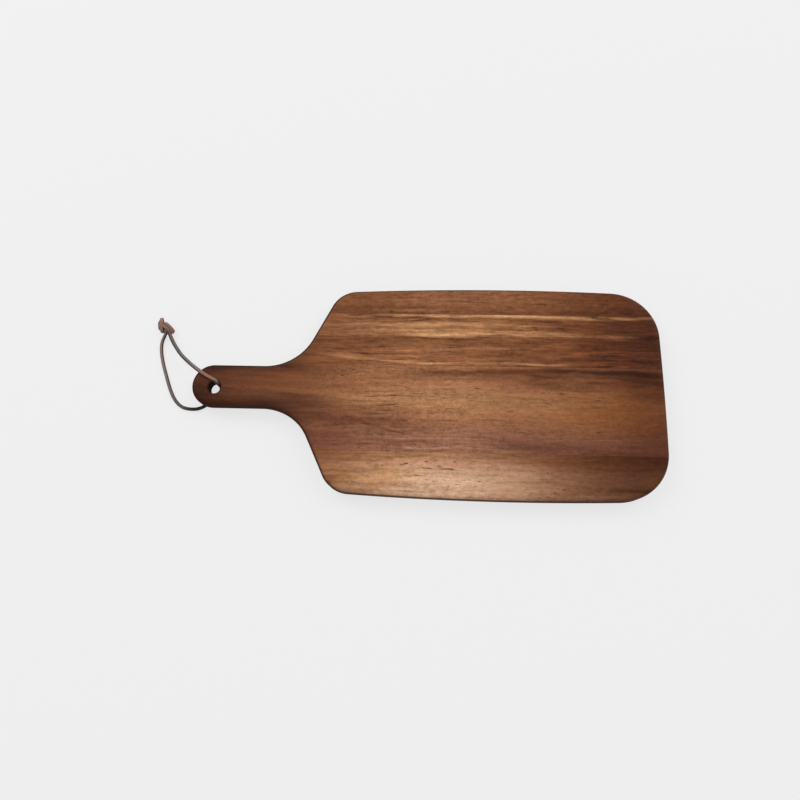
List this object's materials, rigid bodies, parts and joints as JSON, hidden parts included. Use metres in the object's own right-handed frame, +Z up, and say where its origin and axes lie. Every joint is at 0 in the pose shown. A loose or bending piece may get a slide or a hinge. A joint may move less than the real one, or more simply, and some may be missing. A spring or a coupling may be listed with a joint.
{
  "type": "chopping board",
  "caption": "Paddle-shaped wooden chopping board of edge-glued staves, with a rounded handle, a hanging hole and a leather lace knotted into a loop through it.",
  "frame": {"origin": "middle of the board's underside, where it rests", "axes": "+X from the handle to the far end, +Z up out of the cutting face"},
  "size_m": [0.4308, 0.18, 0.0179],
  "materials": {
    "back_edge_wood": "oiled",
    "back_wood": "oiled",
    "handle_wood": "oiled",
    "front_wood": "oiled",
    "glue": "hardened wood glue",
    "lace_leather": "plain"
  },
  "bodies": {
    "board": {"back_edge_stave": "back_edge_wood", "back_stave": "back_wood", "handle_stave": "handle_wood", "front_stave": "front_wood", "back_edge_glue_line": "glue", "back_glue_line": "glue", "front_glue_line": "glue"},
    "lace": {"lace_front_strand": "lace_leather", "lace_back_strand": "lace_leather", "lace_knot": "lace_leather", "lace_front_end": "lace_leather", "lace_back_end": "lace_leather"}
  },
  "joints": [
    {"name": "loop_swing", "type": "hinge", "parent": "board", "child": "lace", "pos_m": [-0.1755, -0.002, 0.009], "axis": [0, 0, 1], "range_deg": [-40, 125]}
  ]
}
